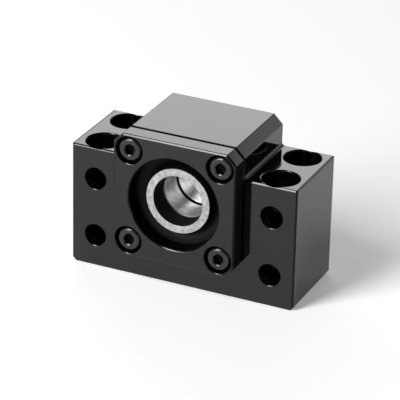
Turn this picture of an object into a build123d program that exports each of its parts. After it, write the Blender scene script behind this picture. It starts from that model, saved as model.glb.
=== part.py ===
from build123d import *
import os
from math import cos, radians, sin

# Fixed-side end support for a ball screw with a 15 mm journal. Sizes are in millimetres.
#
# A T-shaped steel block carries a face-to-face pair of angular contact ball bearings. A square lid,
# held by four socket head screws, clamps the outer rings against the block's rear wall. The shaft
# clamps the inner rings between two ground collars, and each collar runs in a rubber lip seal.
#
# X is the width, Y the shaft's axis with the lid at -Y, and Z is up. The origin is the middle of
# the block's bottom face.

# Block
axis_height = 28.0
shoulder_height = 37.5
rear_wall = 5.5
base_chamfer = 1.0
boss_chamfer = 2.8
root_fillet = 1.0
edge_break = 0.4

# Holes that bolt the block down from above, and those that bolt it from the front
mount_pitch_x = 55.0
mount_edge = 7.5
mount_hole = 6.6
mount_counterbore = 11.0
mount_counterbore_depth = 6.2
mount_land = 0.25
side_pitch_z = 18.0
side_height = 18.8
side_hole = 6.6
hole_break = 0.2

# Shaft and collars
shaft_diameter = 15.0
collar_wall = 2.5
collar_break = 0.2
front_collar_recess = 3.0
rear_collar_rise = 2.0

# Bearings
bearing_section = 8.5
bearing_width = 9.0
ring_break = 0.5
ball_diameter = 4.7625
ball_count = 13
contact_angle = 30.0
groove_conformity = 0.52
race_clearance = 0.04
high_shoulder = 1.0
low_shoulder = 0.35
cage_thickness = 1.6
cage_inset = 0.8
pocket_clearance = 0.1

# Seals
seal_section = 4.0
seal_width = 4.0
seal_gap = 0.5
seal_rim = 1.1
seal_web = 1.2
seal_dish = 1.0
lip_width = 0.6
lip_clearance = 0.05

# Lid and its screws
lid_thickness = 6.0
spigot_length = 3.5
spigot_clearance = 0.02
screw_inset = 2.0
lid_margin = 4.85
lid_seam_break = 1.0
lid_bore_break = 0.3
screw_diameter = 4.0
screw_head_diameter = 7.0
screw_head_height = 4.0
screw_length = 10.0
screw_head_round = 0.9
screw_point_break = 0.3
screw_hex = 3.0
screw_hex_depth = 2.0
screw_hole_clearance = 0.25
screw_head_clearance = 0.65
screw_head_setback = 0.3
thread_clearance = 0.05
tapped_runout = 2.0

# Diameters, from the shaft outwards
collar_diameter = shaft_diameter + 2 * collar_wall
seal_diameter = collar_diameter + 2 * seal_section
bearing_diameter = shaft_diameter + 2 * bearing_section
pitch_radius = (shaft_diameter + bearing_diameter) / 4
screw_offset = bearing_diameter / 2 - screw_inset

# Places along the shaft, from the lid backwards
base_depth = spigot_length + 2 * bearing_width + rear_wall
block_front = -base_depth / 2
block_back = base_depth / 2
lid_front = block_front - lid_thickness
bearings_front = block_front + spigot_length
bearings_back = bearings_front + 2 * bearing_width
screw_front = lid_front + screw_head_setback

# Outline of the block and the lid
base_width = mount_pitch_x + 2 * mount_edge
mount_pitch_y = base_depth - mount_counterbore - 2 * mount_land
lid_size = 2 * (screw_offset + lid_margin)
top_height = axis_height + lid_size / 2

# Groove that a ball runs in: its radius, and how far its centre stands off the ball's
groove_radius = groove_conformity * ball_diameter
groove_offset = groove_radius - ball_diameter / 2 - race_clearance
groove_offset_radial = groove_offset * cos(radians(contact_angle))
groove_offset_axial = groove_offset * sin(radians(contact_angle))

# Which way a bearing's outer end points along Y
front, rear = -1, 1

shaft_axis = Axis((0, 0, axis_height), (0, 1, 0))


def front_plane(y, across=0.0, up=0.0):
    """A plane square to the shaft that looks out of the lid, centred on the shaft's axis."""
    return Plane(origin=(across, y, axis_height + up), x_dir=(1, 0, 0), z_dir=(0, -1, 0))


def section_plane(y, outward):
    """A half section from the shaft's axis: x is the radius, y runs towards the outer end."""
    return Plane(origin=(0, y, axis_height), x_dir=(0, 0, 1), z_dir=(-outward, 0, 0))


def bearing_middle(outward):
    """Y of the middle of the front or the rear bearing."""
    return (bearings_front + bearings_back + outward * bearing_width) / 2


def housing():
    """The T-shaped block, with its bearing seat, seal bore and drilled holes."""
    with BuildPart() as block:
        with BuildSketch(Plane.XZ.offset(-block_back)) as outline:
            Rectangle(base_width, shoulder_height, align=(Align.CENTER, Align.MIN))
            Rectangle(lid_size, top_height, align=(Align.CENTER, Align.MIN))
            chamfer(outline.vertices().group_by(Axis.Y)[0], length=base_chamfer)
            chamfer(outline.vertices().group_by(Axis.Y)[-1], length=boss_chamfer)
            shoulders = outline.vertices().filter_by_position(
                Axis.Y, shoulder_height - edge_break, shoulder_height + edge_break
            )
            by_reach = shoulders.sort_by(lambda corner: abs(corner.X))
            fillet(by_reach[:2], radius=root_fillet)
            chamfer(by_reach[2:], length=edge_break)
        extrude(amount=base_depth)
        ends = block.faces().filter_by(Axis.Y)
        chamfer(ends.edges().filter_by(is_broken), length=edge_break)

        # Seal bore right through, and the bearing seat from the front
        with Locations(front_plane(block_front)):
            Hole(seal_diameter / 2)
            Hole(bearing_diameter / 2, depth=bearings_back - block_front)

        # Counterbored holes from above
        with Locations(Plane.XY.offset(shoulder_height)):
            with GridLocations(mount_pitch_x, mount_pitch_y, 2, 2):
                CounterBoreHole(mount_hole / 2, mount_counterbore / 2, mount_counterbore_depth)
                break_mouth(mount_counterbore / 2)

        # Plain holes from the front, which cross the counterbored ones
        back_plane = Plane(origin=(0, block_back, side_height), x_dir=(-1, 0, 0), z_dir=(0, 1, 0))
        for face in front_plane(block_front, up=side_height - axis_height), back_plane:
            with Locations(face):
                with GridLocations(mount_pitch_x, side_pitch_z, 2, 2):
                    Hole(side_hole / 2, depth=base_depth / 2)
                    break_mouth(side_hole / 2)

        # Tapped holes for the lid's screws
        screw_end = screw_front + screw_head_height + screw_length
        with Locations(front_plane(block_front)):
            with GridLocations(2 * screw_offset, 2 * screw_offset, 2, 2):
                Hole(screw_diameter / 2, depth=screw_end + tapped_runout - block_front)
    block.part.label = "housing"
    return block.part


def is_broken(edge):
    """Whether an end edge of the block is chamfered: all but those behind the top of the lid."""
    middle = edge.center()
    return middle.Y > 0 or middle.Z < top_height - boss_chamfer


def break_mouth(radius, width=hole_break):
    """Break the sharp edge at the mouth of a round hole, at the locations in use."""
    CounterSinkHole(radius, radius + width, depth=2 * width, counter_sink_angle=90)


def bearing_lid():
    """The square lid: a plate with a spigot that holds the outer rings, and a seal bore."""
    with BuildPart() as lid:
        with BuildSketch(front_plane(block_front)) as outline:
            Rectangle(lid_size, lid_size)
            chamfer(outline.vertices(), length=boss_chamfer)
        extrude(amount=lid_thickness)
        chamfer(lid.faces().sort_by(Axis.Y)[0].edges(), length=edge_break)
        chamfer(lid.faces().sort_by(Axis.Y)[-1].edges(), length=lid_seam_break)
        with BuildSketch(front_plane(block_front)):
            Circle(bearing_diameter / 2 - spigot_clearance)
        extrude(amount=-spigot_length)
        with Locations(front_plane(lid_front)):
            Hole(seal_diameter / 2)
            break_mouth(seal_diameter / 2, lid_bore_break)
            with GridLocations(2 * screw_offset, 2 * screw_offset, 2, 2):
                CounterBoreHole(
                    screw_diameter / 2 + screw_hole_clearance,
                    (screw_head_diameter + 2 * screw_head_clearance) / 2,
                    screw_head_setback + screw_head_height,
                )
                break_mouth(screw_head_diameter / 2 + screw_head_clearance)
    lid.part.label = "bearing_lid"
    return lid.part


def lid_screw(name, across, up):
    """A socket head cap screw, with its thread left as a plain shank."""
    with BuildPart() as screw:
        with BuildSketch(front_plane(screw_front, across, up)):
            Circle(screw_head_diameter / 2)
        extrude(amount=-screw_head_height)
        fillet(screw.edges().filter_by(GeomType.CIRCLE).sort_by(Axis.Y)[0], radius=screw_head_round)
        with BuildSketch(front_plane(screw_front + screw_head_height, across, up)):
            Circle(screw_diameter / 2 - thread_clearance)
        extrude(amount=-screw_length)
        chamfer(screw.edges().filter_by(GeomType.CIRCLE).sort_by(Axis.Y)[-1], length=screw_point_break)
        with BuildSketch(front_plane(screw_front, across, up)):
            RegularPolygon(screw_hex / 2, 6, major_radius=False)
        extrude(amount=-screw_hex_depth, mode=Mode.SUBTRACT)
    screw.part.label = name
    return screw.part


def collar(name, start, end):
    """A ground collar that the shaft clamps against an inner ring."""
    with BuildPart() as ring:
        with BuildSketch(front_plane(end)):
            Circle(collar_diameter / 2)
            Circle(shaft_diameter / 2, mode=Mode.SUBTRACT)
        extrude(amount=end - start)
        chamfer(ring.edges().filter_by(GeomType.CIRCLE), length=collar_break)
    ring.part.label = name
    return ring.part


def seal(name, outward):
    """A rubber lip seal: a rim pressed into its bore, and a dished web with a lip."""
    inner_end = bearing_middle(outward) + outward * (bearing_width / 2 + seal_gap)
    rim = seal_diameter / 2 - seal_rim
    lip = collar_diameter / 2 + lip_clearance
    lip_top = seal_width - seal_dish
    with BuildPart() as ring:
        with BuildSketch(section_plane(inner_end, outward)):
            with BuildLine():
                Polyline(
                    (seal_diameter / 2, 0),
                    (rim, 0),
                    (rim, seal_width - 2 * seal_web),
                    (lip + seal_web / 2, lip_top - seal_web),
                    (lip, lip_top - lip_width),
                    (lip, lip_top),
                    (rim, seal_width),
                    (seal_diameter / 2, seal_width),
                    close=True,
                )
            make_face()
        revolve(axis=shaft_axis)
    ring.part.label = name
    return ring.part


def outer_ring(name, outward):
    """A bearing's outer ring, with its high shoulder at the outer end."""
    half_width = bearing_width / 2
    groove_centre = pitch_radius - groove_offset_radial
    bottom = groove_centre + groove_radius
    with BuildPart() as ring:
        with BuildSketch(section_plane(bearing_middle(outward), outward)) as section:
            with BuildLine():
                Polyline(
                    (bearing_diameter / 2, -half_width),
                    (bearing_diameter / 2, half_width),
                    (bottom - high_shoulder, half_width),
                    (bottom - high_shoulder, 0),
                    (bottom - low_shoulder, 0),
                    (bottom - low_shoulder, -half_width),
                    close=True,
                )
            make_face()
            chamfer(section.vertices().group_by(Axis.X)[-1], length=ring_break)
            with Locations((groove_centre, -groove_offset_axial)):
                Circle(groove_radius, mode=Mode.SUBTRACT)
        revolve(axis=shaft_axis)
    ring.part.label = name
    return ring.part


def inner_ring(name, outward):
    """A bearing's inner ring, with its high shoulder towards the other bearing."""
    half_width = bearing_width / 2
    groove_centre = pitch_radius + groove_offset_radial
    bottom = groove_centre - groove_radius
    with BuildPart() as ring:
        with BuildSketch(section_plane(bearing_middle(outward), outward)) as section:
            with BuildLine():
                Polyline(
                    (shaft_diameter / 2, -half_width),
                    (bottom + high_shoulder, -half_width),
                    (bottom + high_shoulder, 0),
                    (bottom + low_shoulder, 0),
                    (bottom + low_shoulder, half_width),
                    (shaft_diameter / 2, half_width),
                    close=True,
                )
            make_face()
            chamfer(section.vertices().group_by(Axis.X)[0], length=ring_break)
            with Locations((groove_centre, groove_offset_axial)):
                Circle(groove_radius, mode=Mode.SUBTRACT)
        revolve(axis=shaft_axis)
    ring.part.label = name
    return ring.part


def ball_planes(outward, radius):
    """A plane over each ball of a bearing, at a radius, that looks away from the shaft."""
    planes = []
    for index in range(ball_count):
        angle = radians(360 * index / ball_count)
        direction = Vector(sin(angle), 0, cos(angle))
        centre = Vector(0, bearing_middle(outward), axis_height)
        planes.append(Plane(origin=centre + direction * radius, x_dir=(0, 1, 0), z_dir=direction))
    return planes


def cage(name, outward):
    """A one-piece cage ring with a round pocket for each ball."""
    outside = pitch_radius + cage_thickness / 2
    with BuildPart() as ring:
        with BuildSketch(front_plane(bearing_middle(outward))):
            Circle(outside)
            Circle(outside - cage_thickness, mode=Mode.SUBTRACT)
        extrude(amount=bearing_width / 2 - cage_inset, both=True)
        with Locations(*ball_planes(outward, outside + cage_thickness)):
            Hole(ball_diameter / 2 + pocket_clearance, depth=3 * cage_thickness)
    ring.part.label = name
    return ring.part


def ball(name, plane):
    """One bearing ball."""
    with BuildPart() as sphere:
        with Locations(plane):
            Sphere(ball_diameter / 2)
    sphere.part.label = name
    return sphere.part


def pieces():
    """Every piece of the support, one at a time."""
    yield housing()
    yield bearing_lid()
    for height, up in ("upper", screw_offset), ("lower", -screw_offset):
        for side, across in ("left", -screw_offset), ("right", screw_offset):
            yield lid_screw(f"lid_screw_{height}_{side}", across, up)
    yield collar("front_collar", lid_front + front_collar_recess, bearings_front)
    yield collar("rear_collar", bearings_back, block_back + rear_collar_rise)
    for end, outward in ("front", front), ("rear", rear):
        yield seal(f"{end}_seal", outward)
        yield outer_ring(f"{end}_outer_ring", outward)
        yield inner_ring(f"{end}_inner_ring", outward)
        yield cage(f"{end}_cage", outward)
        for index, plane in enumerate(ball_planes(outward, pitch_radius)):
            yield ball(f"{end}_ball_{index + 1:02d}", plane)


os.makedirs("parts", exist_ok=True)
for piece in pieces():
    export_step(piece, f"parts/{piece.label}.step")
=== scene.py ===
from math import cos, pi, radians, sin

import bmesh
import bpy
from bpy.props import FloatProperty, FloatVectorProperty, IntProperty, PointerProperty
from mathutils import Matrix, Vector


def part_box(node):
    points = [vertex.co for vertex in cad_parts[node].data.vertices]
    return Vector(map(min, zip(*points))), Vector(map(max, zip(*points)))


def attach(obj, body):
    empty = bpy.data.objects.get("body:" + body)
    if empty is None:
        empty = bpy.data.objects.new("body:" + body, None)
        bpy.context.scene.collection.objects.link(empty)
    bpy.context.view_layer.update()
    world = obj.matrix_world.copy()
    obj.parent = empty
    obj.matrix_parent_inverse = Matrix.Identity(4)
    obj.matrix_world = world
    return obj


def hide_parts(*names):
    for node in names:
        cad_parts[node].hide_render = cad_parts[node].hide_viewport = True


# Looks of a ball screw end support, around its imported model. Lengths in code are in metres.
# The shaft runs along Y with the lid at -Y, and Z is up.

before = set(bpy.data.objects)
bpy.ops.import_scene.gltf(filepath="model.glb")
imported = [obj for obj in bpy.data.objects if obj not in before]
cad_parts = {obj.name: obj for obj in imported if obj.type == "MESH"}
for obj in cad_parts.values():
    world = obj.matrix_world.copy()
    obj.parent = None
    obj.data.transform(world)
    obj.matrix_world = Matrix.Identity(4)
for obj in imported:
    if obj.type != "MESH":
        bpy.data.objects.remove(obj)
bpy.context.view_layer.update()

bl_info = {
    "name": "Ball Screw End Support",
    "version": (1, 0, 0),
    "blender": (4, 5, 0),
    "location": "View3D > Sidebar > Support",
    "description": "Finishes a ball screw end support and sets it in a plain studio",
    "category": "Object",
}

MM = 0.001

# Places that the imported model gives
housing_low, housing_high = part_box("housing")
lid_low, lid_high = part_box("bearing_lid")
screw_low, screw_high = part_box("lid_screw_upper_right")
collar_low, collar_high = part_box("front_collar")
shaft_height = ((collar_low + collar_high) / 2).z
screw_offset = (screw_low.x + screw_high.x) / 2

# The block's shoulders, beside the boss
SHOULDER_HEIGHT = 37.5 * MM

# Angles past which an edge is hard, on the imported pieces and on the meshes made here
CAD_SPLIT_ANGLE = radians(25)
MESH_SPLIT_ANGLE = radians(32)

# Soft panels: the direction that each lies in from the shaft, its size and its radiance.
# The main one is in front on the left, and the top faces mirror the two behind.
PANEL_DISTANCE = 1.2
PANELS = {
    "main_panel": ((-0.40, -0.74, 0.58), (0.44, 1.12), 13.8),
    "back_panel": ((-0.38, 0.82, 0.44), (1.0, 0.5), 3.05),
    "side_panel": ((0.46, 0.87, 0.191), (0.5, 0.5), 1.0),
}


# Sizes and colours that a user would change


class BlackFinishSettings(bpy.types.PropertyGroup):
    """Gloss black finish of the block and the lid"""

    dark: FloatVectorProperty(
        name="Dark Tone", description="Darker tone of the black finish",
        subtype="COLOR", min=0, max=1, default=(0.0008, 0.0008, 0.0008),
    )
    light: FloatVectorProperty(
        name="Light Tone", description="Lighter tone of the black finish",
        subtype="COLOR", min=0, max=1, default=(0.0018, 0.0018, 0.0018),
    )
    roughness: FloatProperty(
        name="Roughness", description="Mean roughness of the finish",
        subtype="FACTOR", min=0, max=1, default=0.085,
    )
    grain: FloatProperty(
        name="Grain Width", description="Width of one grinding line under the finish",
        subtype="DISTANCE", unit="LENGTH", min=0.00005, default=0.0002,
    )
    edge_round: FloatProperty(
        name="Edge Round", description="How far the finish rounds each edge off",
        subtype="DISTANCE", unit="LENGTH", min=0.0, default=0.00042,
    )
    outer_chamfer: FloatProperty(
        name="Outer Chamfer", description="How wide the chamfer on the shoulders' outer edges looks",
        subtype="DISTANCE", unit="LENGTH", min=0.0, default=0.00055,
    )


class ScrewSettings(bpy.types.PropertyGroup):
    """Socket head screws of the lid"""

    edge_round: FloatProperty(
        name="Edge Round", description="Radius of the head's top edge",
        subtype="DISTANCE", unit="LENGTH", min=0.0001, default=0.0009,
    )
    hex_across: FloatProperty(
        name="Hex Size", description="Width of the hex socket across its flats",
        subtype="DISTANCE", unit="LENGTH", min=0.001, default=0.003,
    )
    hex_depth: FloatProperty(
        name="Hex Depth", description="Depth of the hex socket",
        subtype="DISTANCE", unit="LENGTH", min=0.0005, default=0.002,
    )
    knurl_count: IntProperty(
        name="Knurls", description="Straight knurls round the head", min=12, default=36,
    )
    pitch: FloatProperty(
        name="Thread Pitch", description="Pitch of the thread",
        subtype="DISTANCE", unit="LENGTH", min=0.0003, default=0.0007,
    )


class BallSettings(bpy.types.PropertyGroup):
    """Balls of the two bearings"""

    count: IntProperty(
        name="Balls", description="Balls in each bearing", min=6, default=13,
    )
    detail: IntProperty(
        name="Detail", description="Subdivisions of each ball", min=2, max=5, default=4,
    )


class StageSettings(bpy.types.PropertyGroup):
    """Camera, lights and floor"""

    azimuth: FloatProperty(
        name="Azimuth", description="Camera's turn to the right of the lid",
        subtype="ANGLE", unit="ROTATION", default=radians(24.47),
    )
    elevation: FloatProperty(
        name="Elevation", description="Camera's height over the horizon",
        subtype="ANGLE", unit="ROTATION", default=radians(25.61),
    )
    roll: FloatProperty(
        name="Roll", description="Camera's tilt about its own line of sight",
        subtype="ANGLE", unit="ROTATION", default=radians(1.36),
    )
    distance: FloatProperty(
        name="Distance", description="Camera's distance from its target",
        subtype="DISTANCE", unit="LENGTH", default=0.729,
    )
    target: FloatVectorProperty(
        name="Target", description="Point that the camera looks at",
        subtype="TRANSLATION", unit="LENGTH", default=(-0.00062, 0.0, 0.02128),
    )
    lens: FloatProperty(
        name="Lens", description="Focal length on a 36 mm sensor, in millimetres", default=227.8,
    )
    floor_colour: FloatVectorProperty(
        name="Floor", description="Colour of the floor",
        subtype="COLOR", min=0, max=1, default=(0.9, 0.9, 0.9),
    )


# Building blocks for node trees

# Numbers of the Mix node's two value inputs and of its output, for each kind of value
MIX_SOCKETS = {"FLOAT": (2, 3, 0), "VECTOR": (4, 5, 1), "RGBA": (6, 7, 2)}


def set_inputs(tree, node, inputs):
    """Sets or links several inputs of a node, by name or number."""
    for name, value in inputs.items():
        if isinstance(value, bpy.types.NodeSocket):
            tree.links.new(value, node.inputs[name])
        else:
            node.inputs[name].default_value = value


def add_node(tree, kind, inputs=None, **settings):
    """Adds a node with its settings, and sets or links its inputs."""
    node = tree.nodes.new(kind)
    for name, value in settings.items():
        setattr(node, name, value)
    set_inputs(tree, node, inputs or {})
    return node


def new_material(name):
    """An empty material, with its tree, its surface shader and its Object coordinates."""
    material = bpy.data.materials.new(name)
    material.use_nodes = True
    tree = material.node_tree
    shader = tree.nodes["Principled BSDF"]
    place = add_node(tree, "ShaderNodeTexCoord").outputs["Object"]
    return material, tree, shader, place


def noise(tree, place, feature, detail=3.0, stretch=(1, 1, 1)):
    """Noise whose features are about as wide as the given length, stretched along the axes."""
    scaled = add_node(tree, "ShaderNodeMapping", {"Vector": place, "Scale": stretch})
    return add_node(
        tree, "ShaderNodeTexNoise",
        {"Vector": scaled.outputs[0], "Scale": 1 / feature, "Detail": detail},
    ).outputs["Fac"]


def remap(tree, value, from_low, from_high, to_low, to_high):
    """A value carried from one range to another, clamped."""
    return add_node(
        tree, "ShaderNodeMapRange",
        {"Value": value, "From Min": from_low, "From Max": from_high, "To Min": to_low, "To Max": to_high},
    ).outputs["Result"]


def rise(tree, value, start, end):
    """0 up to the start, and 1 past the end."""
    return remap(tree, value, start, end, 0, 1)


def fall(tree, value, start, end):
    """1 up to the start, and 0 past the end."""
    return remap(tree, value, start, end, 1, 0)


def vary(tree, cloud, low, high):
    """A value that a noise moves between two, over the range that the noise mostly keeps to."""
    usual_low, usual_high = 0.3, 0.7
    return remap(tree, cloud, usual_low, usual_high, low, high)


def calculate(tree, operation, first, second=0.0, *others):
    """Arithmetic on one number or two, and the same step again with each further number."""
    result = add_node(tree, "ShaderNodeMath", {0: first, 1: second}, operation=operation).outputs[0]
    return calculate(tree, operation, result, *others) if others else result


def calculate_vector(tree, operation, first, second=(0, 0, 0)):
    """One step of arithmetic on vectors."""
    node = add_node(tree, "ShaderNodeVectorMath", {0: first, 1: second}, operation=operation)
    return node.outputs["Value" if operation == "LENGTH" else "Vector"]


def split_xyz(tree, vector):
    """The three numbers of a vector, by name."""
    return add_node(tree, "ShaderNodeSeparateXYZ", {"Vector": vector}).outputs


def distance_from(tree, value, middle):
    """How far a number lies from another, on either side."""
    return calculate(tree, "ABSOLUTE", calculate(tree, "SUBTRACT", value, middle))


def blend(tree, kind, factor, first, second):
    """A number, vector or colour between two, by a factor."""
    start, end, result = MIX_SOCKETS[kind]
    mix = add_node(tree, "ShaderNodeMix", {0: factor, start: first, end: second}, data_type=kind)
    return mix.outputs[result]


def as_colour(value):
    """A socket as it is, and a level of grey or three numbers as an opaque colour."""
    if isinstance(value, bpy.types.NodeSocket):
        return value
    if isinstance(value, float):
        return value, value, value, 1
    return *value, 1


def blend_colour(tree, factor, first, second):
    """A colour between two, each a socket, a level of grey or three numbers."""
    return blend(tree, "RGBA", factor, as_colour(first), as_colour(second))


def bump(tree, height, depth, normal=None):
    """A bump whose height of 1 stands for the given depth."""
    inputs = {"Height": height, "Distance": depth, "Strength": 1.0}
    if normal:
        inputs["Normal"] = normal
    return add_node(tree, "ShaderNodeBump", inputs).outputs["Normal"]


def inside_box(tree, place, centre, half):
    """1 inside a box and its mirror images in the X and Y planes, and 0 outside."""
    soft_edge = 0.3 * MM
    away = calculate_vector(tree, "SUBTRACT", calculate_vector(tree, "ABSOLUTE", place), centre)
    room = calculate_vector(tree, "SUBTRACT", half, calculate_vector(tree, "ABSOLUTE", away))
    sides = split_xyz(tree, room)
    return rise(tree, calculate(tree, "MINIMUM", sides["X"], sides["Y"], sides["Z"]), 0, soft_edge)


def radius_from(tree, place, centre):
    """Distance from a line along Y, mirrored in X about 0 and in Z about the shaft's height."""
    raised = calculate_vector(tree, "SUBTRACT", place, (0, 0, shaft_height))
    away = calculate_vector(tree, "SUBTRACT", calculate_vector(tree, "ABSOLUTE", raised), centre)
    return calculate_vector(tree, "LENGTH", calculate_vector(tree, "MULTIPLY", away, (1, 0, 1)))


def turn_normal(tree, normal, start, end):
    """A normal carried from one space's axes to another's."""
    return add_node(
        tree, "ShaderNodeVectorTransform", {"Vector": normal},
        vector_type="NORMAL", convert_from=start, convert_to=end,
    ).outputs[0]


def planar_normal(tree):
    """The surface's own normal where it lies square to an axis, and the smooth one elsewhere."""
    surface = add_node(tree, "ShaderNodeNewGeometry").outputs
    own = turn_normal(tree, surface["True Normal"], "WORLD", "OBJECT")
    sides = split_xyz(tree, calculate_vector(tree, "ABSOLUTE", own))
    largest = calculate(tree, "MAXIMUM", sides["X"], sides["Y"], sides["Z"])
    square = rise(tree, largest, 0.9998, 0.9999)
    return blend(tree, "VECTOR", square, surface["Normal"], surface["True Normal"])


def chamfered(tree, place, normal, corner, width):
    """A normal turned to 45 degrees near a block's long top edges, which end at the corner."""
    soft_edge = 0.05 * MM
    sides = split_xyz(tree, place)
    beyond = calculate(
        tree, "MINIMUM",
        calculate(tree, "SUBTRACT", calculate(tree, "ABSOLUTE", sides["X"]), corner.x - width),
        calculate(tree, "SUBTRACT", sides["Z"], corner.z - width),
    )
    along = calculate(tree, "ABSOLUTE", sides["Y"])
    short_of_ends = fall(tree, along, corner.y - 2 * soft_edge, corner.y - soft_edge)
    strip = calculate(tree, "MULTIPLY", rise(tree, beyond, 0, soft_edge), short_of_ends)
    slope = add_node(
        tree, "ShaderNodeCombineXYZ", {"X": calculate(tree, "SIGN", sides["X"]), "Z": 1.0}
    ).outputs[0]
    return blend(tree, "VECTOR", strip, normal, turn_normal(tree, slope, "OBJECT", "WORLD"))


# Finishes


def hole_walls(tree, place, along):
    """1 on the walls of the drilled holes and of the lid's bore, and 0 on the outer faces."""
    inset = 0.6 * MM
    near_face = 0.4 * MM
    bore_radius = 14.3 * MM
    seat_radius = 4.3 * MM
    soft_edge = 0.1 * MM

    # A box inside each wing holds its holes, and two radii hold the lid's bore and screw seats
    wing_middle = (housing_high.x + lid_high.x) / 2
    wings = inside_box(
        tree, place, (wing_middle, 0, SHOULDER_HEIGHT / 2),
        (housing_high.x - wing_middle - inset, housing_high.y - inset, SHOULDER_HEIGHT / 2 - inset),
    )
    within = calculate(
        tree, "MULTIPLY",
        rise(tree, along, lid_low.y + near_face, lid_low.y + inset),
        fall(tree, along, housing_high.y - inset, housing_high.y - near_face),
    )
    bore = fall(tree, radius_from(tree, place, (0, 0, 0)), bore_radius, bore_radius + soft_edge)
    seats = fall(
        tree, radius_from(tree, place, (screw_offset, 0, screw_offset)),
        seat_radius, seat_radius + soft_edge,
    )
    lid_holes = calculate(tree, "MULTIPLY", within, calculate(tree, "MAXIMUM", bore, seats))
    return calculate(tree, "MAXIMUM", wings, lid_holes)


def painted_edge_shade(tree, facing):
    """1 on upright and lower edges, whose normals lie between the front and a side, and 0 elsewhere; the
    black finish paints shade on these edges.
    """
    forward = calculate(tree, "ABSOLUTE", facing["Y"])
    turned = calculate(tree, "MULTIPLY", rise(tree, forward, 0.15, 0.4), fall(tree, forward, 0.93, 0.99))
    return calculate(tree, "MULTIPLY", turned, fall(tree, facing["Z"], 0.1, 0.3))


def black_finish(settings):
    """Gloss black over ground steel: fine grinding lines, faint clouding, and painted shade that makes the
    holes, the seam, the lid's sides and the upright and lower edges darker and duller.
    """
    material, tree, shader, place = new_material("gloss_black_finish")
    cloud = noise(tree, place, 9 * MM)
    lines = noise(tree, place, settings.grain, detail=2.0, stretch=(0.06, 1, 1))
    grit = noise(tree, place, 0.35 * MM, detail=2.0)
    colour = blend_colour(tree, vary(tree, cloud, 0, 1), settings.dark, settings.light)
    sides = split_xyz(tree, place)
    along, height = sides["Y"], sides["Z"]

    rounded = add_node(
        tree, "ShaderNodeBevel",
        {"Radius": settings.edge_round, "Normal": planar_normal(tree)}, samples=8,
    ).outputs[0]
    corner = Vector((housing_high.x, housing_high.y, SHOULDER_HEIGHT))
    rounded = chamfered(tree, place, rounded, corner, settings.outer_chamfer)
    facing = split_xyz(tree, turn_normal(tree, rounded, "WORLD", "OBJECT"))

    # Painted shade: the walls of the holes, the sides of the lid and the seam between lid and boss are
    # drawn darker
    lid_sides = calculate(
        tree, "MULTIPLY",
        rise(tree, calculate(tree, "ABSOLUTE", facing["X"]), 0.95, 0.99),
        fall(tree, along, housing_low.y - 0.15 * MM, housing_low.y),
    )
    seam = calculate(
        tree, "MULTIPLY",
        fall(tree, distance_from(tree, along, housing_low.y), 0.24 * MM, 0.32 * MM),
        rise(tree, height, SHOULDER_HEIGHT, lid_high.z - MM),
    )
    painted_face_shade = calculate(tree, "MAXIMUM", hole_walls(tree, place, along), seam, lid_sides)

    # Painted shade: upright and lower edges are drawn darker and rougher than the flats that they join
    dull_and_shaded = calculate(tree, "MAXIMUM", painted_face_shade, painted_edge_shade(tree, facing))
    painted_shade_colour = blend_colour(tree, painted_face_shade, 0.016, 0.004)

    # The fillets at the boss's foot are milled, not ground
    root = 0.5 * MM
    reach = root + 0.15 * MM
    milled = inside_box(
        tree, place, (lid_high.x + root, 0, SHOULDER_HEIGHT + root), (reach, housing_high.y, reach)
    )
    rough = calculate(tree, "MAXIMUM", dull_and_shaded, milled)
    dull_roughness = 0.45
    spread = 0.15
    ground = vary(
        tree, cloud, settings.roughness * (1 - spread), settings.roughness * (1 + spread)
    )
    set_inputs(tree, shader, {
        "Base Color": blend_colour(tree, dull_and_shaded, colour, painted_shade_colour),
        "Metallic": dull_and_shaded,
        "Roughness": blend(tree, "FLOAT", rough, ground, dull_roughness),
        "Normal": bump(tree, lines, 0.0004 * MM, bump(tree, grit, 0.0006 * MM, rounded)),
        "IOR": 1.5,
    })
    return material


def screw_finish():
    """Black oxide on a cold-headed screw: satin, with small pits, and painted shade that darkens the
    socket.
    """
    material, tree, shader, place = new_material("screw_black_oxide")
    cloud = noise(tree, place, 1.5 * MM)
    pits = noise(tree, place, 0.12 * MM, detail=4.0)
    # Painted shade: the socket's inside, below its mouth, is drawn darker than the head
    socket_radius = 1.72 * MM
    radius = radius_from(tree, place, (screw_offset, 0, screw_offset))
    depth = calculate(tree, "SUBTRACT", split_xyz(tree, place)["Y"], screw_low.y)
    socket = calculate(
        tree, "MULTIPLY",
        fall(tree, radius, socket_radius, socket_radius + 0.1 * MM),
        rise(tree, depth, 0.15 * MM, 0.35 * MM),
    )
    oxide = blend_colour(tree, cloud, (0.004, 0.004, 0.0042), (0.009, 0.009, 0.0093))
    set_inputs(tree, shader, {
        "Base Color": blend_colour(tree, socket, oxide, 0.006),
        "Metallic": socket,
        "Roughness": vary(tree, cloud, 0.2, 0.3),
        "Normal": bump(tree, pits, 0.002 * MM),
        "IOR": 1.53,
    })
    return material


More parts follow.
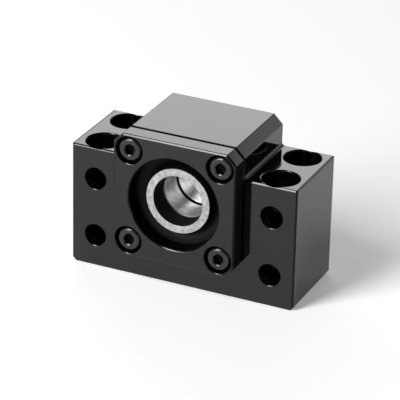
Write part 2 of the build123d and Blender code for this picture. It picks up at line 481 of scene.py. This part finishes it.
def collar_finish(face_y, name):
    """Ground bright on the end face, black on the bore and the rim."""
    material, tree, shader, place = new_material(name)

    # The ground layer ends along a ragged line just past the face's edges
    depth = distance_from(tree, split_xyz(tree, place)["Y"], face_y)
    ragged = vary(tree, noise(tree, place, 0.5 * MM), 0.02 * MM, 0.08 * MM)
    ground = rise(tree, calculate(tree, "SUBTRACT", ragged, depth), 0, 0.03 * MM)

    # Fine rings about the shaft's axis
    centred = add_node(
        tree, "ShaderNodeMapping", {"Vector": place, "Location": (0, 0, -shaft_height)}
    ).outputs[0]
    turning = add_node(
        tree, "ShaderNodeTexWave",
        {"Vector": centred, "Scale": 900.0, "Distortion": 2.0, "Detail": 2.0},
        wave_type="RINGS", rings_direction="Y",
    ).outputs["Fac"]
    mottle = rise(tree, noise(tree, place, 1.2 * MM, detail=5.0), 0.35, 0.65)
    set_inputs(tree, shader, {
        "Base Color": blend_colour(tree, ground, 0.009, blend_colour(tree, mottle, 0.37, 0.57)),
        "Metallic": ground,
        "Roughness": blend(tree, "FLOAT", ground, 0.4, remap(tree, mottle, 0, 1, 0.28, 0.4)),
        "Normal": bump(tree, turning, 0.0015 * MM),
        "IOR": 1.05,
    })
    return material


def bearing_finish():
    """Ground and polished bearing steel, mottled, with painted shade where two inner rings meet and on the
    front ring's outer corner.
    """
    material, tree, shader, place = new_material("polished_bearing_steel")
    lines = noise(tree, place, 0.15 * MM, detail=2.0, stretch=(0.02, 1, 0.02))
    mottle = rise(tree, noise(tree, place, 2.6 * MM, detail=5.0), 0.35, 0.65)
    spots = noise(tree, place, 0.9 * MM, detail=2.0)
    steel = blend_colour(tree, mottle, (0.56, 0.56, 0.565), 0.84)

    # Painted shade darkens the two rings' corners at their joint, and the front ring's outer corner beside
    # the collar
    bore_radius = 8.3 * MM
    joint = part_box("rear_inner_ring")[0].y
    corner_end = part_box("front_inner_ring")[0].y + 0.5 * MM
    along = split_xyz(tree, place)["Y"]
    off_joint = distance_from(tree, along, joint)
    at_bore = fall(tree, radius_from(tree, place, (0, 0, 0)), bore_radius, bore_radius + 0.1 * MM)
    joint_shade = calculate(tree, "MULTIPLY", fall(tree, off_joint, 0.68 * MM, 0.74 * MM), at_bore)
    corner = calculate(tree, "MULTIPLY", fall(tree, along, corner_end, corner_end + 0.1 * MM), at_bore)
    # The front ring's outer corner is painted a darker grey, as shade, and made rough
    turned = blend_colour(tree, corner, steel, 0.2)
    rough = vary(tree, spots, 0.3, 0.46)
    set_inputs(tree, shader, {
        "Base Color": blend_colour(tree, joint_shade, turned, 0.01),
        "Metallic": 1.0,
        "Roughness": blend(tree, "FLOAT", calculate(tree, "MAXIMUM", joint_shade, corner), rough, 0.6),
        "Normal": bump(tree, lines, 0.0008 * MM, bump(tree, mottle, 0.02 * MM)),
    })
    return material


def ball_finish():
    """Mirror polished balls with a thin film of grease."""
    material, tree, shader, place = new_material("polished_balls")
    film = noise(tree, place, 1.0 * MM)
    set_inputs(tree, shader, {
        "Base Color": blend_colour(tree, film, (0.66, 0.66, 0.65), (0.76, 0.76, 0.77)),
        "Metallic": 1.0,
        "Roughness": vary(tree, film, 0.04, 0.1),
    })
    return material


def cage_finish():
    """Natural moulded nylon."""
    material, tree, shader, place = new_material("moulded_cage_nylon")
    cloud = noise(tree, place, 2 * MM)
    grain = noise(tree, place, 0.2 * MM)
    set_inputs(tree, shader, {
        "Base Color": blend_colour(tree, cloud, (0.62, 0.55, 0.4), (0.74, 0.68, 0.53)),
        "Roughness": vary(tree, grain, 0.4, 0.55),
        "Normal": bump(tree, grain, 0.006 * MM),
        "Subsurface Weight": 0.1,
        "Subsurface Radius": (0.001, 0.0008, 0.0005),
        "Subsurface Scale": 1.0,
    })
    return material


def seal_finish():
    """Moulded black rubber with a faint bloom."""
    material, tree, shader, place = new_material("moulded_seal_rubber")
    bloom = noise(tree, place, 1.8 * MM, detail=4.0)
    grain = noise(tree, place, 0.12 * MM)
    set_inputs(tree, shader, {
        "Base Color": blend_colour(tree, bloom, 0.002, (0.005, 0.005, 0.0052)),
        "Roughness": vary(tree, bloom, 0.42, 0.58),
        "Normal": bump(tree, grain, 0.004 * MM),
        "IOR": 1.2,
    })
    return material


# Pieces


def smooth_node(name, material):
    """Gives a CAD node its material, and shades its curved faces smooth."""
    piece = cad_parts[name]
    piece.data.materials.clear()
    piece.data.materials.append(material)
    for face in piece.data.polygons:
        face.use_smooth = True
    weld = piece.modifiers.new("Weld", "WELD")
    weld.merge_threshold = 0.0005 * MM
    split = piece.modifiers.new("Hard Edges", "EDGE_SPLIT")
    split.split_angle = CAD_SPLIT_ANGLE
    split.use_edge_sharp = False


def add_piece(name, mesh, body, replaced):
    """Places a finished mesh as a piece that rides on a body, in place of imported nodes."""
    piece = bpy.data.objects.new(name, mesh)
    bpy.context.scene.collection.objects.link(piece)
    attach(piece, body)
    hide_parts(*replaced)


# Geometry Nodes


def plain_mesh(source, name):
    """The evaluated result of an object's modifiers as a plain mesh, and the object removed."""
    depsgraph = bpy.context.evaluated_depsgraph_get()
    mesh = bpy.data.meshes.new_from_object(source.evaluated_get(depsgraph))
    mesh.name = name
    old = source.data
    bpy.data.objects.remove(source)
    bpy.data.meshes.remove(old)
    return mesh


def nodes_result(name, base, tree, values):
    """Runs a Geometry Nodes tree on a mesh, with its named inputs set, and returns a plain mesh."""
    host = bpy.data.objects.new(name, base)
    bpy.context.scene.collection.objects.link(host)
    modifier = host.modifiers.new(name, "NODES")
    modifier.node_group = tree
    for item in tree.interface.items_tree:
        if item.item_type == "SOCKET" and item.in_out == "INPUT" and item.name in values:
            modifier[item.identifier] = values[item.name]
    bpy.context.view_layer.update()
    return plain_mesh(host, name)


def new_geometry_tree(name, inputs):
    """A Geometry Nodes tree with a geometry input and output, and the named inputs."""
    tree = bpy.data.node_groups.new(name, "GeometryNodeTree")
    tree.interface.new_socket("Geometry", in_out="INPUT", socket_type="NodeSocketGeometry")
    for label, (kind, description) in inputs.items():
        socket = tree.interface.new_socket(label, in_out="INPUT", socket_type=kind)
        socket.description = description
    tree.interface.new_socket("Geometry", in_out="OUTPUT", socket_type="NodeSocketGeometry")
    return tree, tree.nodes.new("NodeGroupInput").outputs, tree.nodes.new("NodeGroupOutput")


def finish_copies(tree, result, copies, material):
    """Turns copies on points into one plain mesh with its material, as the tree's result."""
    real = add_node(tree, "GeometryNodeRealizeInstances", {"Geometry": copies.outputs[0]})
    finished = add_node(
        tree, "GeometryNodeSetMaterial", {"Geometry": real.outputs[0], "Material": material}
    )
    set_inputs(tree, result, {0: finished.outputs[0]})


def screw_set_tree():
    """Sets a copy of one screw on each point, as one mesh."""
    tree, given, result = new_geometry_tree("screw_set", {
        "Screw": ("NodeSocketObject", "The screw to copy, with its axis along Y"),
        "Turn Step": ("NodeSocketFloat", "Angle added from one screw to the next"),
        "Finish": ("NodeSocketMaterial", "Material of the screws"),
    })
    screw = add_node(tree, "GeometryNodeObjectInfo", {"Object": given["Screw"]})
    index = add_node(tree, "GeometryNodeInputIndex").outputs[0]
    turn = calculate(tree, "MULTIPLY", index, given["Turn Step"])
    copies = add_node(tree, "GeometryNodeInstanceOnPoints", {
        "Points": given["Geometry"],
        "Instance": screw.outputs["Geometry"],
        "Rotation": add_node(tree, "ShaderNodeCombineXYZ", {"Y": turn}).outputs[0],
    })
    finish_copies(tree, result, copies, given["Finish"])
    return tree


def ball_set_tree():
    """Sets a smooth ball on each point of a ring, as one mesh."""
    tree, given, result = new_geometry_tree("ball_set", {
        "Count": ("NodeSocketInt", "Balls in the ring"),
        "Pitch Radius": ("NodeSocketFloat", "Radius of the circle through the balls' centres"),
        "Ball Radius": ("NodeSocketFloat", "Radius of one ball"),
        "Detail": ("NodeSocketInt", "Subdivisions of one ball"),
        "Finish": ("NodeSocketMaterial", "Material of the balls"),
    })
    ring = add_node(tree, "GeometryNodeMeshCircle", {
        "Vertices": given["Count"], "Radius": given["Pitch Radius"],
    })
    upright = add_node(tree, "GeometryNodeTransform", {
        "Geometry": ring.outputs[0], "Rotation": (pi / 2, -pi / 2, 0),
    })
    ball = add_node(tree, "GeometryNodeMeshIcoSphere", {
        "Radius": given["Ball Radius"], "Subdivisions": given["Detail"],
    })
    smooth = add_node(tree, "GeometryNodeSetShadeSmooth", {"Geometry": ball.outputs[0]})
    copies = add_node(tree, "GeometryNodeInstanceOnPoints", {
        "Points": upright.outputs[0], "Instance": smooth.outputs[0],
    })
    finish_copies(tree, result, copies, given["Finish"])
    return tree


# Meshes made in code


def ring_of_points(shape, count):
    """Points round the Y axis, where shape gives (radius, y) for each angle."""
    points = []
    for index in range(count):
        angle = 2 * pi * index / count
        radius, y = shape(angle)
        points.append(Vector((radius * sin(angle), y, radius * cos(angle))))
    return points


def skin_rings(name, rings, start_pole, end_pole):
    """A closed mesh through rings of points, with a pole at each end."""
    mesh = bpy.data.meshes.new(name)
    shape = bmesh.new()
    loops = [[shape.verts.new(point) for point in ring] for ring in rings]
    for first, second in zip(loops, loops[1:]):
        for index in range(len(first)):
            after = (index + 1) % len(first)
            shape.faces.new((first[index], first[after], second[after], second[index]))
    for loop, pole in (loops[0], start_pole), (loops[-1], end_pole):
        tip = shape.verts.new(pole)
        for index in range(len(loop)):
            shape.faces.new((loop[index], loop[(index + 1) % len(loop)], tip))
    bmesh.ops.recalc_face_normals(shape, faces=shape.faces)
    for face in shape.faces:
        face.smooth = True
    shape.to_mesh(mesh)
    shape.free()
    return mesh


def mark_hard_edges(mesh):
    """Marks a mesh's hard edges as sharp, so that smooth shading stays crisp there."""
    shape = bmesh.new()
    shape.from_mesh(mesh)
    for edge in shape.edges:
        if len(edge.link_faces) == 2 and edge.calc_face_angle() > MESH_SPLIT_ANGLE:
            edge.smooth = False
    shape.to_mesh(mesh)
    shape.free()
    return mesh


def hex_radius(angle, across):
    """Distance from the centre to a hexagon's side, at an angle."""
    step = pi / 3
    return across / 2 / cos((angle + step / 2) % step - step / 2)


def socket_screw_mesh(settings):
    """One socket head screw along Y: its head's face at y = 0 and its shank towards +Y."""
    low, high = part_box("lid_screw_upper_left")
    head_radius = (high.x - low.x) / 2
    head_height = 4 * MM
    length = high.y - low.y
    edge_round = settings.edge_round
    columns = 2 * settings.knurl_count

    def hexagon(y):
        return ring_of_points(lambda angle: (hex_radius(angle, settings.hex_across), y), columns)

    def circle(radius, y):
        return ring_of_points(lambda angle: (radius, y), columns)

    # Socket: a hexagon with a coned floor, and a countersunk mouth a tenth wider than its corners
    corner_radius = settings.hex_across / 2 / cos(pi / 6)
    mouth = corner_radius * 1.1
    mouth_slope = 0.7
    floor_tip = (0, settings.hex_depth + 0.45 * MM, 0)

    def mouth_edge(angle):
        radius = hex_radius(angle, settings.hex_across)
        return radius, (mouth - radius) * mouth_slope

    rings = [hexagon(settings.hex_depth), ring_of_points(mouth_edge, columns), circle(mouth, 0)]

    # Head: a flat face, a rounded edge in steps, knurls, and a plain underside with a chamfer
    flat_radius = head_radius - edge_round
    flat_rim = 0.15 * MM
    round_steps = 5
    knurl_depth = 0.12 * MM
    knurl_start = edge_round + 0.25 * MM
    knurl_end = head_height - 0.35 * MM
    plain_start = head_height - 0.2 * MM
    under_chamfer = 0.25 * MM

    def knurled(y):
        def tooth(angle):
            return head_radius - knurl_depth * (round(angle * columns / (2 * pi)) % 2), y
        return ring_of_points(tooth, columns)

    rings.append(circle(flat_radius - flat_rim, 0))
    for step in range(round_steps + 1):
        turn = pi / 2 * step / round_steps
        rings.append(circle(flat_radius + edge_round * sin(turn), edge_round * (1 - cos(turn))))
    rings.append(knurled(knurl_start))
    rings.append(knurled(knurl_end))
    rings.append(circle(head_radius - knurl_depth, plain_start))
    rings.append(circle(head_radius - under_chamfer, head_height))

    # Shank: a small neck under the head, then a thread whose radius follows a helix
    major = 1.95 * MM
    neck_width = 0.2 * MM
    neck_length = 0.15 * MM
    thread_start = head_height + 0.5 * MM
    thread_depth = 0.61 * settings.pitch
    end_taper = 0.8 * settings.pitch
    rows_per_pitch = 6
    minor = major - thread_depth
    least = 0.97 * minor
    rings.append(circle(major + neck_width, head_height))
    rings.append(circle(major, head_height + neck_length))
    rows = int((length - thread_start) / settings.pitch * rows_per_pitch)
    for row in range(rows + 1):
        y = thread_start + (length - thread_start) * row / rows

        def thread(angle, y=y):
            phase = (y / settings.pitch - angle / (2 * pi)) % 1
            groove = 1 - abs(2 * phase - 1)
            fade = min(1, (y - thread_start) / settings.pitch)
            crest = minor + thread_depth * min(1, (length - y) / end_taper)
            return max(least, crest - thread_depth * groove * fade), y

        rings.append(ring_of_points(thread, columns))
    return skin_rings("socket_screw", rings, floor_tip, (0, length, 0))


# Stage


def seen_directly(tree):
    """1 on camera, glossy and transmission rays, and 0 on the rays that carry soft light."""
    path = add_node(tree, "ShaderNodeLightPath").outputs
    return calculate(
        tree, "MAXIMUM", path["Is Camera Ray"], path["Is Glossy Ray"], path["Is Transmission Ray"]
    )


def make_floor(settings):
    """A plain pale floor just under the block's base, which glows a little where it is seen."""
    half_width = 3.0
    height = -0.02 * MM
    seen_share = 0.9
    seen_glow = 0.27
    mesh = bpy.data.meshes.new("floor")
    corners = [
        (x * half_width, y * half_width, height) for x, y in ((-1, -1), (1, -1), (1, 1), (-1, 1))
    ]
    mesh.from_pydata(corners, [], [(0, 1, 2, 3)])
    material, tree, shader, _ = new_material("pale_floor")
    seen = seen_directly(tree)
    colour = Vector(settings.floor_colour)
    set_inputs(tree, shader, {
        "Base Color": blend_colour(tree, seen, colour, colour * seen_share),
        "Roughness": 0.9,
        "Specular IOR Level": 0.0,
        "Emission Color": (1, 1, 1, 1),
        "Emission Strength": remap(tree, seen, 0, 1, 0, seen_glow),
    })
    mesh.materials.append(material)
    floor = bpy.data.objects.new("floor", mesh)
    bpy.context.scene.collection.objects.link(floor)


def make_world(scene):
    """A surround that is white at the horizon and dim overhead."""
    world = bpy.data.worlds.new("studio")
    scene.world = world
    world.use_nodes = True
    tree = world.node_tree
    horizon, overhead = 1.0, 0.03
    direction = add_node(tree, "ShaderNodeTexCoord").outputs["Generated"]
    height = split_xyz(tree, direction)["Z"]
    set_inputs(tree, tree.nodes["Background"], {
        "Color": (1, 1, 1, 1),
        "Strength": remap(tree, height, 0.05, 0.35, horizon, overhead),
    })


def add_panel(scene, name, direction, size, radiance):
    """A rectangular soft light that faces the part from a direction."""
    light = bpy.data.lights.new(name, "AREA")
    light.shape = "RECTANGLE"
    light.size, light.size_y = size
    light.energy = radiance * size[0] * size[1] * pi
    panel = bpy.data.objects.new(name, light)
    direction = Vector(direction).normalized()
    panel.location = Vector((0, 0, shaft_height)) + direction * PANEL_DISTANCE
    panel.rotation_euler = direction.to_track_quat("Z", "Y").to_euler()
    panel.visible_camera = False
    scene.collection.objects.link(panel)


def make_camera(scene, settings):
    """The photograph's camera, turned about its target."""
    azimuth, elevation, roll = settings.azimuth, settings.elevation, settings.roll
    back = Vector((
        sin(azimuth) * cos(elevation), -cos(azimuth) * cos(elevation), sin(elevation)
    ))
    level = Vector((cos(azimuth), sin(azimuth), 0))
    upright = back.cross(level)
    right = level * cos(roll) + upright * sin(roll)
    up = upright * cos(roll) - level * sin(roll)
    data = bpy.data.cameras.new("camera")
    data.sensor_width = 36.0
    data.lens = settings.lens
    data.clip_start, data.clip_end = 0.05, 20.0
    camera = bpy.data.objects.new("camera", data)
    place = Vector(settings.target) + back * settings.distance
    camera.matrix_world = Matrix.Translation(place) @ Matrix((right, up, back)).transposed().to_4x4()
    scene.collection.objects.link(camera)
    scene.camera = camera


# Operators


class SUPPORT_OT_block(bpy.types.Operator):
    """Finish the block and its lid in gloss black"""

    bl_idname = "support.block"
    bl_label = "Finish Block and Lid"

    def execute(self, context):
        material = black_finish(context.scene.support_black)
        for name in "housing", "bearing_lid":
            smooth_node(name, material)
        return {"FINISHED"}


class SUPPORT_OT_screws(bpy.types.Operator):
    """Make the lid's socket head screws"""

    bl_idname = "support.screws"
    bl_label = "Make Lid Screws"

    def execute(self, context):
        settings = context.scene.support_screws
        names = sorted(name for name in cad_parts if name.startswith("lid_screw"))
        places = []
        for name in names:
            low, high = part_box(name)
            middle = (low + high) / 2
            places.append((middle.x, low.y, middle.z))
        master_mesh = mark_hard_edges(socket_screw_mesh(settings))
        master = bpy.data.objects.new("screw_master", master_mesh)
        context.scene.collection.objects.link(master)
        points = bpy.data.meshes.new("screw_points")
        points.from_pydata(places, [], [])
        mesh = nodes_result("lid_screws", points, screw_set_tree(), {
            "Screw": master, "Turn Step": radians(23), "Finish": screw_finish(),
        })
        bpy.data.objects.remove(master)
        bpy.data.meshes.remove(master_mesh)
        add_piece("lid_screws", mesh, "housing", names)
        return {"FINISHED"}


class SUPPORT_OT_collars(bpy.types.Operator):
    """Finish the two collars: bright ends, black bores"""

    bl_idname = "support.collars"
    bl_label = "Finish Collars"

    def execute(self, context):
        smooth_node("front_collar", collar_finish(collar_low.y, "front_collar_finish"))
        smooth_node("rear_collar", collar_finish(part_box("rear_collar")[1].y, "rear_collar_finish"))
        return {"FINISHED"}


class SUPPORT_OT_seals(bpy.types.Operator):
    """Finish the two seals in black rubber"""

    bl_idname = "support.seals"
    bl_label = "Finish Seals"

    def execute(self, context):
        material = seal_finish()
        for name in "front_seal", "rear_seal":
            smooth_node(name, material)
        return {"FINISHED"}


class SUPPORT_OT_bearings(bpy.types.Operator):
    """Finish the bearings' rings and cages, and make their balls"""

    bl_idname = "support.bearings"
    bl_label = "Finish Bearings"

    def execute(self, context):
        settings = context.scene.support_balls
        steel, nylon, polished = bearing_finish(), cage_finish(), ball_finish()
        tree = ball_set_tree()
        for end in "front", "rear":
            smooth_node(f"{end}_outer_ring", steel)
            smooth_node(f"{end}_inner_ring", steel)
            smooth_node(f"{end}_cage", nylon)
            names = sorted(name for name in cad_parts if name.startswith(f"{end}_ball_"))
            low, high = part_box(f"{end}_ball_01")
            centre = (low + high) / 2
            mesh = nodes_result(f"{end}_balls", bpy.data.meshes.new(f"{end}_base"), tree, {
                "Count": settings.count,
                "Pitch Radius": centre.z - shaft_height,
                "Ball Radius": (high.z - low.z) / 2,
                "Detail": settings.detail,
                "Finish": polished,
            })
            mesh.transform(Matrix.Translation((0, centre.y, shaft_height)))
            add_piece(f"{end}_balls", mesh, f"{end}_ball_set", names)
        return {"FINISHED"}


class SUPPORT_OT_stage(bpy.types.Operator):
    """Set up the floor, the lights and the camera"""

    bl_idname = "support.stage"
    bl_label = "Set Stage"

    def execute(self, context):
        settings = context.scene.support_stage
        make_floor(settings)
        make_world(context.scene)
        for name, (direction, size, radiance) in PANELS.items():
            add_panel(context.scene, name, direction, size, radiance)
        make_camera(context.scene, settings)
        context.scene.view_settings.view_transform = "Standard"
        return {"FINISHED"}


# Panel


class SUPPORT_PT_panel(bpy.types.Panel):
    """Lists the steps of the end support"""

    bl_idname = "SUPPORT_PT_panel"
    bl_label = "Ball Screw End Support"
    bl_space_type = "VIEW_3D"
    bl_region_type = "UI"
    bl_category = "Support"

    def draw(self, context):
        scene = context.scene
        for settings, operators in (
            (scene.support_black, ("support.block",)),
            (scene.support_screws, ("support.screws",)),
            (scene.support_balls, ("support.collars", "support.seals", "support.bearings")),
            (scene.support_stage, ("support.stage",)),
        ):
            box = self.layout.box()
            for name in settings.__annotations__:
                box.prop(settings, name)
            for operator in operators:
                box.operator(operator)


# Registration


SETTINGS = {
    "support_black": BlackFinishSettings,
    "support_screws": ScrewSettings,
    "support_balls": BallSettings,
    "support_stage": StageSettings,
}
STEPS = (
    SUPPORT_OT_block,
    SUPPORT_OT_screws,
    SUPPORT_OT_collars,
    SUPPORT_OT_seals,
    SUPPORT_OT_bearings,
    SUPPORT_OT_stage,
)


def register():
    """Registers the settings, the steps and the panel."""
    for group in SETTINGS.values():
        bpy.utils.register_class(group)
    for step in (*STEPS, SUPPORT_PT_panel):
        bpy.utils.register_class(step)
    for name, group in SETTINGS.items():
        setattr(bpy.types.Scene, name, PointerProperty(type=group))


def unregister():
    """Takes back what register did."""
    for name in SETTINGS:
        delattr(bpy.types.Scene, name)
    for step in (SUPPORT_PT_panel, *reversed(STEPS)):
        bpy.utils.unregister_class(step)
    for group in reversed(SETTINGS.values()):
        bpy.utils.unregister_class(group)


def main():
    register()
    for step in STEPS:
        group, name = step.bl_idname.split(".")
        getattr(getattr(bpy.ops, group), name)()


if __name__ == "__main__":
    main()
